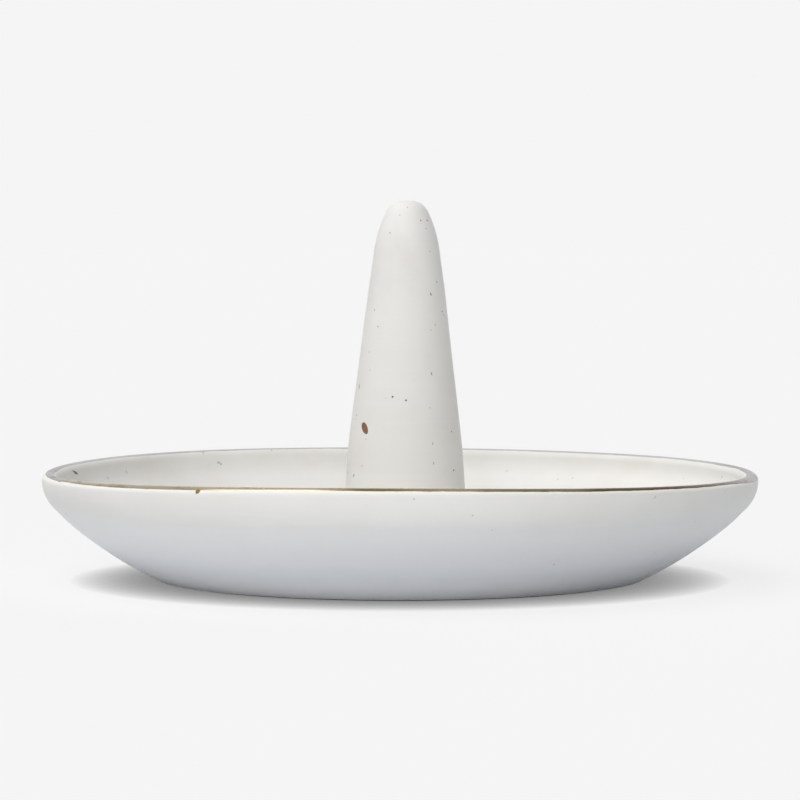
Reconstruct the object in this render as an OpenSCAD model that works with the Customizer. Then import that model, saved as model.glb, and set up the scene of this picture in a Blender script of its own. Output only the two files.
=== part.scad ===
// Ring dish: a shallow round stoneware dish with a hollow cone in the middle that holds rings,
// under a cream glaze, with a gold lustre line fired round the lip.
// The dish is centred on Z and stands on Z = 0, with +X to the right and -Y to the front.
// All sizes are in millimetres and all angles in degrees.

/* [Dish] */
// Widest diameter, over the glaze
dish_d = 120; // [96:1:150]
// Height of the lip's top above the table, over the glaze
dish_h = 18.6; // [15:0.1:23]
// Thickness of the clay wall
dish_wall = 2; // [1.4:0.1:3]
// Thickness of the clay floor over the foot's recess
dish_floor = 2.6; // [1.8:0.1:4]
// Radius of the wall's long curve, over the glaze
wall_curve_r = 64; // [54:1:80]
// Radius of the tight curve that turns the wall upright, over the glaze
upturn_r = 7; // [5.5:0.1:9]
// Slope of the wall where the tight curve begins, above level
upturn_angle = 44.5; // [40:0.5:54]
// Radius of the blend from floor to wall inside, over the glaze
floor_round = 18; // [10:0.5:26]

/* [Foot] */
// Radius that rounds the foot's outer edge
foot_round = 3.5; // [1.5:0.1:5]
// Width of the flat ring that the dish stands on
foot_ring_w = 4; // [2.5:0.1:8]
// Depth of the turned recess inside that ring
foot_recess = 0.8; // [0.4:0.1:1.5]
// Slope of the recess's edge, above level
recess_angle = 30; // [20:1:60]

/* [Cone] */
// Height of the cone's tip above the table, over the glaze
cone_h = 63.2; // [50:0.1:80]
// Diameter of the cone where it meets the floor, over the glaze
cone_base_d = 23.8; // [19:0.1:30]
// Distance of the cone's axis from the dish's, to the right
cone_x = 0.85; // [-4:0.05:4]
// Thickness of the cone's clay wall
cone_wall = 3; // [2:0.1:4]
// Radius of the curve between the taper and the tip, over the glaze
shoulder_r = 21; // [12:0.5:30]
// Slope where that curve meets the tip's own round, off upright
shoulder_angle = 26.5; // [18:0.5:40]
// Radius of the tip's round, over the glaze
tip_r = 3.2; // [2.4:0.1:4.5]
// Diameter of the small flat on top of the tip
tip_flat_d = 1.4; // [0.4:0.1:3]
// Radius of the hollow's round end
hollow_tip_r = 2.5; // [1.5:0.1:3.5]
// Diameter of the vent hole under the hollow
vent_d = 3; // [1.5:0.1:6]

/* [Joint] */
// Thickness of the slip between the cone's foot and the floor
slip_t = 0.4; // [0.2:0.05:1]
// Radius of the cove smoothed round the cone's foot, in the clay
cove_r = 3; // [1.5:0.1:5]
// Least thickness that the cove's thin edges reach past a true tangent
cove_bite = 0.1; // [0.05:0.01:0.3]

/* [Glaze] */
// Thickness of the glaze
glaze_t = 0.25; // [0.15:0.05:0.4]
// Height above the table at which the glaze stops on the outside
glaze_line = 0.3; // [0.2:0.1:2]

/* [Gold line] */
// Thickness of the gold line as modelled
gold_t = 0.1; // [0.05:0.01:0.2]
// Where the line begins on the lip's outer side, above level
gold_outer_angle = 50; // [20:1:80]
// Where the line ends on the lip's inner side, from the same level
gold_inner_angle = 134; // [100:1:160]

/* [Hidden] */
$fn = 180;

// An arc is [centre, radius, from, to]. Its angles are the slope of the surface above level:
// 0 faces straight down, 90 faces straight out, 180 faces straight up.
function outward(angle) = [sin(angle), -cos(angle)];
function on_arc(arc, angle) = arc[0] + arc[1] * outward(angle);

// Heights and thicknesses of the finished dish
dish_r = dish_d / 2;
lip_r = dish_wall / 2 + glaze_t;
full_wall = 2 * lip_r;
widest_z = dish_h - lip_r;
lip_c = [dish_r - lip_r, widest_z];
floor_z = foot_recess + dish_floor;
floor_top = floor_z + glaze_t;

// Centres of the dish's arcs, from the lip down. Each arc leaves the last one at the same slope.
upturn_c = [dish_r - upturn_r, widest_z];
wall_c = upturn_c - (wall_curve_r - upturn_r) * outward(upturn_angle);

// Centre of a blend that touches the level z and the inside of the wall's long arc of radius r
function blend_c(z, blend, r) =
    let (rise = z + blend - wall_c[1])
    [wall_c[0] + sqrt(pow(r - blend, 2) - pow(rise, 2)), z + blend];
// Slope at which that blend meets the long arc
function blend_angle(c) = atan2(c[0] - wall_c[0], wall_c[1] - c[1]);

foot_c = blend_c(0, foot_round, wall_curve_r - glaze_t);
foot_angle = blend_angle(foot_c);
floor_c = blend_c(floor_top, floor_round, wall_curve_r - full_wall);
floor_angle = blend_angle(floor_c);
recess_r = foot_c[0] - foot_ring_w;

// The cone's arcs, from the tip down to the taper's slope off upright, which is worked out
base_p = [cone_base_d / 2, floor_top];
tip_c = [tip_flat_d / 2, cone_h - tip_r];
shoulder_c = tip_c - (shoulder_r - tip_r) * outward(90 + shoulder_angle);
base_v = base_p - shoulder_c;
taper = atan2(base_v[1], base_v[0]) + acos(shoulder_r / norm(base_v));

// Radius of the cone's taper at height z, inset from the glazed surface
function taper_r(z, inset) = base_p[0] - (inset + sin(taper) * (z - base_p[1])) / cos(taper);

// Height of the middle of the hollow's round end, where it touches the hollow's taper
hollow_inset = glaze_t + cone_wall;
hollow_tip_z = base_p[1] + (cos(taper) * base_p[0] - hollow_inset - hollow_tip_r) / sin(taper);

// Centre of the cove, in the cone's own frame. Its glaze ends straight under that centre.
cove_reach = cove_r - cove_bite;
cove_c = [taper_r(floor_z + cove_reach, glaze_t) + cove_reach / cos(taper), floor_z + cove_reach];
toe_r = cove_c[0];

// Allowance that carries a cut clear through what it cuts
past = 1;

// What an arc adds outside its own chord
module arc_cap(arc) {
    a = on_arc(arc, arc[2]);
    b = on_arc(arc, arc[3]);
    lift = arc[1] * outward((arc[2] + arc[3]) / 2);
    intersection() {
        translate(arc[0]) circle(arc[1]);
        polygon([a, b, b + lift, a + lift]);
    }
}

// A bulging outline: the arcs' ends in order, then the corners that close it
module bulging(arcs, corners) {
    polygon(concat([for (arc = arcs) each [on_arc(arc, arc[2]), on_arc(arc, arc[3])]], corners));
    for (arc = arcs) arc_cap(arc);
}

// Everything inside the dish's outer surface up to its widest level, under a coat of glaze or none
module dish_outside(coat) {
    skin = glaze_t - coat;
    bulging([
        [foot_c, foot_round + coat, 0, foot_angle],
        [wall_c, wall_curve_r - skin, foot_angle, upturn_angle],
        [upturn_c, upturn_r - skin, upturn_angle, 90]
    ], [[0, widest_z], [0, -coat]]);
}

// The hollow of the dish, up past its lip
module dish_inside(coat) {
    skin = glaze_t - coat;
    hollow_wall = full_wall - skin;
    bulging([
        [floor_c, floor_round + skin, 0, floor_angle],
        [wall_c, wall_curve_r - hollow_wall, floor_angle, upturn_angle],
        [upturn_c, upturn_r - hollow_wall, upturn_angle, 90]
    ], [
        [dish_r - hollow_wall, dish_h + past],
        [0, dish_h + past],
        [0, floor_z + coat]
    ]);
}

// The upper half of the lip's round
module lip_round(r) {
    intersection() {
        translate(lip_c) circle(r);
        translate(lip_c - [r, 0]) square([2 * r, 2 * r]);
    }
}

module dish_shell(coat) {
    difference() {
        dish_outside(coat);
        dish_inside(coat);
    }
    lip_round(dish_wall / 2 + coat);
}

// The recess turned into the underside, which leaves the foot ring
module recess() {
    slope_w = foot_recess / tan(recess_angle);
    polygon([
        [0, -past],
        [recess_r + past / tan(recess_angle), -past],
        [recess_r - slope_w, foot_recess],
        [0, foot_recess]
    ]);
}

// The cone's outline down to the height z, under a coat of glaze or none
module cone_outside(z, coat) {
    skin = glaze_t - coat;
    bulging([
        [shoulder_c, shoulder_r - skin, 90 + taper, 90 + shoulder_angle],
        [tip_c, tip_r - skin, 90 + shoulder_angle, 180]
    ], [[0, cone_h - skin], [0, z], [taper_r(z, skin), z]]);
}

// The cone's hollow from the height z up
module cone_hollow(z) {
    bulging([
        [[0, hollow_tip_z], hollow_tip_r, 90 + taper, 180]
    ], [[0, z], [taper_r(z, hollow_inset), z]]);
}

// The cone's outline from the top of the slip up, with its hollow still filled
module cone_above_slip() {
    difference() {
        cone_outside(floor_z, 0);
        translate([0, floor_z - past]) square([toe_r, past + slip_t]);
    }
}

// The block round the cone's foot, out to the toe, with the cove's round taken from its corner
module cove(coat) {
    difference() {
        translate([0, floor_z]) square([toe_r, cove_reach]);
        translate(cove_c) circle(cove_r - coat);
    }
}

// Stoneware dish with its turned foot and the vent under the cone
module dish_body() {
    color("#d8cdbd") difference() {
        rotate_extrude() difference() {
            dish_shell(0);
            recess();
        }
        translate([cone_x, 0, -past]) cylinder(d = vent_d, h = floor_top + 2 * past);
    }
}

// Hollow clay cone that stands on its slip
module ring_cone() {
    color("#ddd3c4") translate([cone_x, 0, 0]) rotate_extrude() difference() {
        cone_above_slip();
        cone_hollow(floor_z - past);
    }
}

// Slip under the cone's foot and the cove smoothed round it
module cone_joint() {
    color("#cfc3b1") translate([cone_x, 0, 0]) rotate_extrude() difference() {
        cove(0);
        cone_above_slip();
        cone_hollow(floor_z - past);
    }
}

// Glaze over the dish, inside and out, with a round opening where the cone's glaze takes over
module dish_glaze() {
    color("#ece9e2") difference() {
        rotate_extrude() difference() {
            dish_shell(glaze_t);
            dish_shell(0);
            translate([0, -past]) square([dish_r, past + glaze_line]);
        }
        translate([cone_x, 0, floor_z - past]) cylinder(r = toe_r, h = glaze_t + 2 * past);
    }
}

// Glaze over the cone and its cove, out to the toe of the cove
module cone_glaze() {
    color("#ece9e2") translate([cone_x, 0, 0]) rotate_extrude() difference() {
        union() {
            cone_outside(floor_z, glaze_t);
            cove(glaze_t);
            translate([0, floor_z]) square([toe_r, glaze_t]);
        }
        cone_outside(floor_z, 0);
        cove(0);
    }
}

// Gold line over the top of the lip
module gold_rim_line() {
    outer = lip_r + gold_t;
    reach = 2 * outer;
    middle = (gold_outer_angle + gold_inner_angle) / 2;
    color("#c9a45c") rotate_extrude() translate(lip_c) intersection() {
        difference() {
            circle(outer);
            circle(lip_r);
        }
        polygon([
            [0, 0],
            reach * outward(90 + gold_outer_angle),
            reach * outward(90 + middle),
            reach * outward(90 + gold_inner_angle)
        ]);
    }
}

dish_body();
ring_cone();
cone_joint();
dish_glaze();
cone_glaze();
gold_rim_line();
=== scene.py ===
"""Looks of a ring dish: a shallow round glazed dish with a tapered cone in the middle and a gold lip line.

The dish is centred on Z and stands on Z = 0, with +X to the right and -Y to the front. Every length is in
metres. Each piece is turned from its own outline, as on a potter's wheel, and then put slightly out of true
by the hand-made waves of the rim and lean of the cone.
"""

import logging
import math
from dataclasses import dataclass
from enum import Enum
from typing import Callable

import bpy
import numpy as np
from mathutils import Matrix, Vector, noise
from mathutils.bvhtree import BVHTree

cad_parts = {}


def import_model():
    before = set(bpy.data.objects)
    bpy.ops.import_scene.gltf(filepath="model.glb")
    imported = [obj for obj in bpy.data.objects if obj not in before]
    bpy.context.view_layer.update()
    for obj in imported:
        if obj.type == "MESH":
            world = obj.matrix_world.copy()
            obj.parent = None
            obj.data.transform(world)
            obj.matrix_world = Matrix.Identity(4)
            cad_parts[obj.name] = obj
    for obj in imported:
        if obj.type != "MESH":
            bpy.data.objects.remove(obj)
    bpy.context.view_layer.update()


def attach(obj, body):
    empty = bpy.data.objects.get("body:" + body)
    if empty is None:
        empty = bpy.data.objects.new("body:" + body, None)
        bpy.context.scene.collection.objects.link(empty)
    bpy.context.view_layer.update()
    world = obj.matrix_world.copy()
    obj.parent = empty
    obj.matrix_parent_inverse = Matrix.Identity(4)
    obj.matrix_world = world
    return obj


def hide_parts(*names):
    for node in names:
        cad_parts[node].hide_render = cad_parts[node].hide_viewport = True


LOG = logging.getLogger("ring_dish")
MM = 0.001
SAME_PLACE = 0.0001 * MM
DOME_SHARP = 60.0
BLACK = (0, 0, 0, 1)
WHITE = (1, 1, 1, 1)

Point = tuple[float, float]
Outline = list[Point]
Placer = Callable[[float, float, float], tuple[float, float, float]]
Colour = tuple[float, float, float, float]
Zone = tuple[float, float]


class Slot(Enum):
    """Material slots of the record."""

    CLAY = "stoneware"
    SLIP = "stoneware_slip"
    GLAZE = "cream_glaze"
    GOLD = "gold_lustre"


@dataclass(frozen=True)
class Arc:
    """A round stretch of an outline. Its angles are the slope of the surface above level, in degrees."""

    centre: Point
    radius: float
    start: float
    end: float

    def at(self, angle: float, lift: float = 0.0) -> Point:
        """Returns the point at a slope.

        Args:
            angle: Slope there: 0 faces straight down, 90 straight out and 180 straight up.
            lift: Distance outside the arc.

        Returns:
            Radius and height.
        """
        a = math.radians(angle)
        reach = self.radius + lift
        return self.centre[0] + reach * math.sin(a), self.centre[1] - reach * math.cos(a)

    def points(self, step: float) -> Outline:
        """Returns points along the arc, both ends included.

        Args:
            step: About how far apart they are.

        Returns:
            The points, from the arc's start to its end.
        """
        length = abs(math.radians(self.end - self.start)) * self.radius
        count = max(2, math.ceil(length / step))
        return [self.at(self.start + (self.end - self.start) * i / count) for i in range(count + 1)]


def straight(a: Point, b: Point, step: float) -> Outline:
    """Returns points along a straight stretch of an outline, about a step apart, both ends included."""
    count = max(1, math.ceil(math.dist(a, b) / step))
    return [(a[0] + (b[0] - a[0]) * i / count, a[1] + (b[1] - a[1]) * i / count) for i in range(count + 1)]


def joined(*stretches: Outline) -> Outline:
    """Joins stretches of an outline end to end.

    Args:
        stretches: The stretches in order.

    Returns:
        One outline, in which a point that two stretches share comes once.
    """
    path: Outline = []
    for stretch in stretches:
        for point in stretch:
            if not path or math.dist(path[-1], point) > SAME_PLACE:
                path.append(point)
    return path


def smooth(value: float, low: float, high: float) -> float:
    """Returns 0 below low, 1 above high and an even S curve between them."""
    t = min(1.0, max(0.0, (value - low) / (high - low)))
    return t * t * (3 - 2 * t)


@dataclass(frozen=True)
class DishSizes:
    """Driving sizes of the dish and the arcs that follow from them, the same as in the part's source."""

    diameter: float = 120 * MM
    height: float = 18.6 * MM
    wall: float = 2 * MM
    floor: float = 2.6 * MM
    wall_curve: float = 64 * MM
    upturn: float = 7 * MM
    upturn_slope: float = 44.5
    floor_round: float = 18 * MM
    foot_round: float = 3.5 * MM
    foot_ring: float = 4 * MM
    recess: float = 0.8 * MM
    recess_slope: float = 30
    glaze: float = 0.25 * MM
    glaze_line: float = 0.3 * MM

    @property
    def radius(self) -> float:
        """Radius over the glaze."""
        return self.diameter / 2

    @property
    def lip_radius(self) -> float:
        """Radius of the lip's round, over the glaze."""
        return self.wall / 2 + self.glaze

    @property
    def widest(self) -> float:
        """Height at which the dish is widest."""
        return self.height - self.lip_radius

    @property
    def lip_centre(self) -> Point:
        """Centre of the lip's round."""
        return self.radius - self.lip_radius, self.widest

    @property
    def floor_level(self) -> float:
        """Height of the clay floor."""
        return self.recess + self.floor

    @property
    def floor_top(self) -> float:
        """Height of the glazed floor."""
        return self.floor_level + self.glaze

    @property
    def upturn_centre(self) -> Point:
        """Centre of the tight curve that turns the wall upright."""
        return self.radius - self.upturn, self.widest

    @property
    def wall_centre(self) -> Point:
        """Centre of the wall's long curve."""
        a = math.radians(self.upturn_slope)
        reach = self.wall_curve - self.upturn
        x, z = self.upturn_centre
        return x - reach * math.sin(a), z + reach * math.cos(a)

    def _blend(self, level: float, blend: float, radius: float) -> tuple[Point, float]:
        """Finds a round blend from a level to the wall's long curve.

        Args:
            level: Height of the level surface.
            blend: Radius of the blend.
            radius: Radius of the long curve on that side of the wall.

        Returns:
            The blend's centre, and the slope at which it runs into the long curve.
        """
        x, z = self.wall_centre
        rise = level + blend - z
        centre = (x + math.sqrt((radius - blend) ** 2 - rise**2), level + blend)
        return centre, math.degrees(math.atan2(centre[0] - x, z - centre[1]))

    def outside(self, coat: float) -> list[Arc]:
        """Returns the arcs of the outside from the foot up.

        Args:
            coat: Thickness of glaze over the clay, or 0 for the clay itself.

        Returns:
            Foot round, long curve and upturn.
        """
        skin = self.glaze - coat
        centre, slope = self._blend(0, self.foot_round, self.wall_curve - self.glaze)
        return [
            Arc(centre, self.foot_round + coat, 0, slope),
            Arc(self.wall_centre, self.wall_curve - skin, slope, self.upturn_slope),
            Arc(self.upturn_centre, self.upturn - skin, self.upturn_slope, 90),
        ]

    def inside(self, coat: float) -> list[Arc]:
        """Returns the arcs of the inside from the floor up.

        Args:
            coat: Thickness of glaze over the clay, or 0 for the clay itself.

        Returns:
            Floor blend, long curve and upturn.
        """
        skin = self.glaze - coat
        through = 2 * self.lip_radius
        centre, slope = self._blend(self.floor_top, self.floor_round, self.wall_curve - through)
        return [
            Arc(centre, self.floor_round + skin, 0, slope),
            Arc(self.wall_centre, self.wall_curve - through + skin, slope, self.upturn_slope),
            Arc(self.upturn_centre, self.upturn - through + skin, self.upturn_slope, 90),
        ]

    def lip(self, coat: float) -> Arc:
        """Returns the lip's round, from its outer side over the top to its inner side."""
        return Arc(self.lip_centre, self.wall / 2 + coat, 90, 270)


@dataclass(frozen=True)
class ConeSizes:
    """Driving sizes of the cone and the arcs that follow from them, the same as in the part's source."""

    dish: DishSizes = DishSizes()
    height: float = 63.2 * MM
    base: float = 23.8 * MM
    offset: float = 0.85 * MM
    wall: float = 3 * MM
    shoulder: float = 21 * MM
    shoulder_slope: float = 26.5
    tip: float = 3.2 * MM
    tip_flat: float = 1.4 * MM
    hollow_tip: float = 2.5 * MM
    vent: float = 3 * MM
    slip: float = 0.4 * MM
    cove: float = 3 * MM
    cove_bite: float = 0.1 * MM

    @property
    def tip_centre(self) -> Point:
        """Centre of the tip's round."""
        return self.tip_flat / 2, self.height - self.tip

    @property
    def shoulder_centre(self) -> Point:
        """Centre of the curve between the taper and the tip."""
        a = math.radians(90 + self.shoulder_slope)
        reach = self.shoulder - self.tip
        x, z = self.tip_centre
        return x - reach * math.sin(a), z + reach * math.cos(a)

    @property
    def taper(self) -> float:
        """Slope of the taper off upright, in degrees."""
        x, z = self.shoulder_centre
        dx, dz = self.base / 2 - x, self.dish.floor_top - z
        return math.degrees(math.atan2(dz, dx) + math.acos(self.shoulder / math.hypot(dx, dz)))

    def taper_radius(self, level: float, inset: float) -> float:
        """Returns the taper's radius at a height, inset from the glazed surface."""
        a = math.radians(self.taper)
        return self.base / 2 - (inset + math.sin(a) * (level - self.dish.floor_top)) / math.cos(a)

    @property
    def cove_centre(self) -> Point:
        """Centre of the cove round the cone's foot."""
        reach = self.cove - self.cove_bite
        level = self.dish.floor_level + reach
        return self.taper_radius(level, self.dish.glaze) + reach / math.cos(math.radians(self.taper)), level

    @property
    def toe(self) -> float:
        """Radius at which the cove runs out on the floor."""
        return self.cove_centre[0]

    @property
    def hollow_inset(self) -> float:
        """Distance of the hollow from the glazed surface."""
        return self.dish.glaze + self.wall

    @property
    def hollow_tip_level(self) -> float:
        """Height of the middle of the hollow's round end."""
        a = math.radians(self.taper)
        reach = math.cos(a) * self.base / 2 - self.hollow_inset - self.hollow_tip
        return self.dish.floor_top + reach / math.sin(a)

    def top(self, coat: float) -> list[Arc]:
        """Returns the arcs of the cone's outside from the tip down.

        Args:
            coat: Thickness of glaze over the clay, or 0 for the clay itself.

        Returns:
            Tip round and shoulder.
        """
        skin = self.dish.glaze - coat
        return [
            Arc(self.tip_centre, self.tip - skin, 180, 90 + self.shoulder_slope),
            Arc(self.shoulder_centre, self.shoulder - skin, 90 + self.shoulder_slope, 90 + self.taper),
        ]

    def cove_meets_taper(self, coat: float) -> float:
        """Returns the slope, on the cove's circle, at which the cove runs into the taper.

        Args:
            coat: Thickness of glaze over the clay, or 0 for the clay itself.

        Returns:
            Angle in degrees from straight down round to the cone's side.
        """
        x, z = self.cove_centre
        a = math.radians(self.taper)
        radius = self.cove - coat
        gap = (x - self.taper_radius(z, self.dish.glaze - coat)) * math.cos(a)
        return 90 - math.degrees(math.acos(min(1.0, gap / radius)) - a)

    def cove_points(self, coat: float, step: float) -> Outline:
        """Returns points along the cove.

        Args:
            coat: Thickness of glaze over the clay, or 0 for the clay itself.
            step: About how far apart they are.

        Returns:
            The points, from the cone's side down to the toe.
        """
        x, z = self.cove_centre
        radius = self.cove - coat
        first = self.cove_meets_taper(coat)
        count = max(3, math.ceil(math.radians(first) * radius / step))
        path = []
        for i in range(count + 1):
            a = math.radians(first * (1 - i / count))
            path.append((x - radius * math.sin(a), z - radius * math.cos(a)))
        return path


@dataclass(frozen=True)
class HandShape:
    """How far the real dish is out of true: its rim waves, and its cone leans and bulges a little.

    A zone says where on the cone something begins and where it is full, as shares of the cone's height.
    """

    dish: DishSizes = DishSizes()
    cone: ConeSizes = ConeSizes()
    rim_drop: float = 0.196 * MM
    right_drop: float = 0.135 * MM
    saddle: float = 0.327 * MM
    saddle_skew: float = -0.034 * MM
    three_wave: float = 0.169 * MM
    three_skew: float = 0.06 * MM
    rim_inset: float = 0.26 * MM
    inset_from: float = 10 * MM
    inset_to: float = 12.3 * MM
    stand: float = -0.15 * MM
    lean: float = 0.5 * MM
    drift_from: float = 31 * MM
    dent: float = 0.07 * MM
    dent_length: float = 11 * MM
    waist: float = 0.42 * MM
    tip_inset: float = 0.11 * MM
    foot_zone: Zone = (0.0, 0.12)
    tip_zone: Zone = (0.8, 0.97)
    waist_begins: Zone = (0.04, 0.14)
    waist_ends: Zone = (0.16, 0.32)
    inset_zone: Zone = (0.74, 0.85)

    def on_dish(self, r: float, z: float, angle: float) -> tuple[float, float, float]:
        """Places a point of the dish's outline.

        Args:
            r: Radius in the outline.
            z: Height in the outline.
            angle: Angle round the dish from +X towards +Y, in radians.

        Returns:
            The point. Rings near the middle are centred on the cone, and the rim goes up and down.
        """
        dish = self.dish
        share = max(0.0, (z - dish.floor_top) / (dish.widest - dish.floor_top)) ** 2
        wave = self.saddle_skew * math.sin(2 * angle) - self.saddle * math.cos(2 * angle)
        wave += self.three_wave * math.sin(3 * angle) + self.three_skew * math.cos(3 * angle)
        middle = self.cone.offset * (1 - smooth(r, self.cone.toe, self.drift_from))
        r -= self.rim_inset * smooth(z, self.inset_from, self.inset_to)
        lift = wave - self.rim_drop - self.right_drop * math.cos(angle)
        return middle + r * math.cos(angle), r * math.sin(angle), z + share * lift

    def on_cone(self, r: float, z: float, angle: float) -> tuple[float, float, float]:
        """Places a point of the cone's outline.

        Args:
            r: Radius in the outline.
            z: Height in the outline.
            angle: Angle round the cone from +X towards +Y, in radians.

        Returns:
            The point, with the cone's lean to the right, its drawn-in waist and its shallow dents.
        """
        rise = max(0.0, (z - self.dish.floor_top) / (self.cone.height - self.dish.floor_top))
        round_it = self.cone.base / 2
        where = Vector((round_it * math.cos(angle), round_it * math.sin(angle), z)) / self.dent_length
        free = smooth(rise, *self.foot_zone) * (1 - smooth(rise, *self.tip_zone))
        drawn = self.waist * smooth(rise, *self.waist_begins) * (1 - smooth(rise, *self.waist_ends))
        drawn += self.tip_inset * smooth(rise, *self.inset_zone)
        r += (self.dent * noise.noise(where) * free - drawn) * min(1.0, r / self.cone.tip)
        middle = self.cone.offset + self.stand * smooth(rise, *self.foot_zone) + self.lean * rise
        return middle + r * math.cos(angle), r * math.sin(angle), z


def in_scene(name: str, data: bpy.types.ID) -> bpy.types.Object:
    """Puts a mesh, lamp or camera into the scene.

    Args:
        name: Name of its object.
        data: The mesh, lamp or camera.

    Returns:
        The object, at the origin.
    """
    item = bpy.data.objects.new(name, data)
    bpy.context.scene.collection.objects.link(item)
    return item


@dataclass(frozen=True)
class PhotoCamera:
    """A camera at the photograph's viewpoint, looking slightly down at the dish."""

    distance: float = 600 * MM
    height: float = 55.7 * MM
    sideways: float = -0.02 * MM
    tilt: float = 2.4645
    focal_pixels: float = 3587.0
    frame_pixels: int = 800
    sensor: float = 36.0
    nearest: float = 0.01
    farthest: float = 1000.0

    def build(self) -> None:
        """Makes the scene's camera."""
        data = bpy.data.cameras.new("camera")
        data.sensor_width = self.sensor
        data.lens = self.focal_pixels / self.frame_pixels * self.sensor
        data.clip_start = self.nearest
        data.clip_end = self.farthest
        camera = in_scene("camera", data)
        camera.location = self.place
        camera.rotation_euler = (math.radians(90 - self.tilt), 0, 0)
        bpy.context.scene.camera = camera

    @property
    def place(self) -> Vector:
        """Where the camera stands."""
        return Vector((self.sideways, -self.distance, self.height))

    def ray(self, x: float, y: float) -> Vector:
        """Finds the direction in which a pixel of the photograph looks.

        Args:
            x: The pixel's place from the left edge.
            y: The pixel's place from the top edge.

        Returns:
            The direction, as a vector of length 1.
        """
        half = self.frame_pixels / 2
        across, up = (x - half) / self.focal_pixels, (half - y) / self.focal_pixels
        a = math.radians(self.tilt)
        return Vector((across, math.cos(a) + up * math.sin(a), up * math.cos(a) - math.sin(a))).normalized()


class Number:
    """A number that changes over a surface, written with ordinary arithmetic."""

    def __init__(self, finish: "NodeWork", socket: bpy.types.NodeSocket) -> None:
        """Wraps a node's output.

        Args:
            finish: The nodes that it belongs to.
            socket: The output.
        """
        self.finish = finish
        self.socket = socket

    def _math(self, operation: str, *values: object) -> "Number":
        """Adds a Math node on some values and returns its result."""
        node = self.finish.node("ShaderNodeMath", {"operation": operation}, dict(enumerate(values)))
        return Number(self.finish, node.outputs[0])

    def __add__(self, other: object) -> "Number":
        """Returns this plus another."""
        return self._math("ADD", self, other)

    def __radd__(self, other: object) -> "Number":
        """Returns another plus this."""
        return self._math("ADD", other, self)

    def __sub__(self, other: object) -> "Number":
        """Returns this less another."""
        return self._math("SUBTRACT", self, other)

    def __rsub__(self, other: object) -> "Number":
        """Returns another less this."""
        return self._math("SUBTRACT", other, self)

    def __mul__(self, other: object) -> "Number":
        """Returns this times another."""
        return self._math("MULTIPLY", self, other)

    def __rmul__(self, other: object) -> "Number":
        """Returns another times this."""
        return self._math("MULTIPLY", other, self)

    def most(self, other: object) -> "Number":
        """Returns the larger of this and another."""
        return self._math("MAXIMUM", self, other)

    def between(self, low: float, high: float) -> "Number":
        """Turns this into a soft step.

        Args:
            low: Where it begins.
            high: Where it is full.

        Returns:
            0 below low, 1 above high and an even S curve between them.
        """
        settings = {"interpolation_type": "SMOOTHSTEP"}
        values = {"Value": self, "From Min": low, "From Max": high}
        return Number(self.finish, self.finish.node("ShaderNodeMapRange", settings, values).outputs["Result"])


class NodeWork:
    """A tree of nodes that is being put together."""

    def __init__(self, tree: bpy.types.NodeTree) -> None:
        """Takes the tree to work on."""
        self.tree = tree

    def node(self, kind: str, settings: dict | None = None, values: dict | None = None) -> bpy.types.Node:
        """Adds a node.

        Args:
            kind: Its type.
            settings: Its own settings, such as a Math node's operation.
            values: What its sockets hold or are linked to, by socket identifier, name or place.

        Returns:
            The node.
        """
        node = self.tree.nodes.new(kind)
        for key, value in (settings or {}).items():
            setattr(node, key, value)
        for key, value in (values or {}).items():
            self.feed(self.socket(node.inputs, key), value)
        return node

    @staticmethod
    def socket(sockets: bpy.types.bpy_prop_collection, key: object) -> bpy.types.NodeSocket:
        """Finds one of a node's sockets.

        Args:
            sockets: The node's inputs or outputs.
            key: The socket's identifier, name or place.

        Returns:
            The socket.
        """
        if isinstance(key, int):
            return sockets[key]
        return next((s for s in sockets if s.identifier == key), None) or sockets[key]

    def feed(self, socket: bpy.types.NodeSocket, value: object) -> None:
        """Links a socket to a number or another node's output, or sets it.

        Args:
            socket: The socket.
            value: A number that changes, another node's output or a plain value.
        """
        if isinstance(value, Number):
            value = value.socket
        if isinstance(value, bpy.types.NodeSocket):
            self.tree.links.new(value, socket)
        else:
            socket.default_value = value

    def seen(self) -> Number:
        """Tells light that reaches the camera from light that falls on the object.

        Returns:
            1 for the camera and what it sees by reflection or through glass, and 0 otherwise.
        """
        path = self.node("ShaderNodeLightPath")
        camera, glossy, through = (
            Number(self, path.outputs[f"Is {kind} Ray"]) for kind in ("Camera", "Glossy", "Transmission")
        )
        return camera.most(glossy).most(through)


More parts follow.
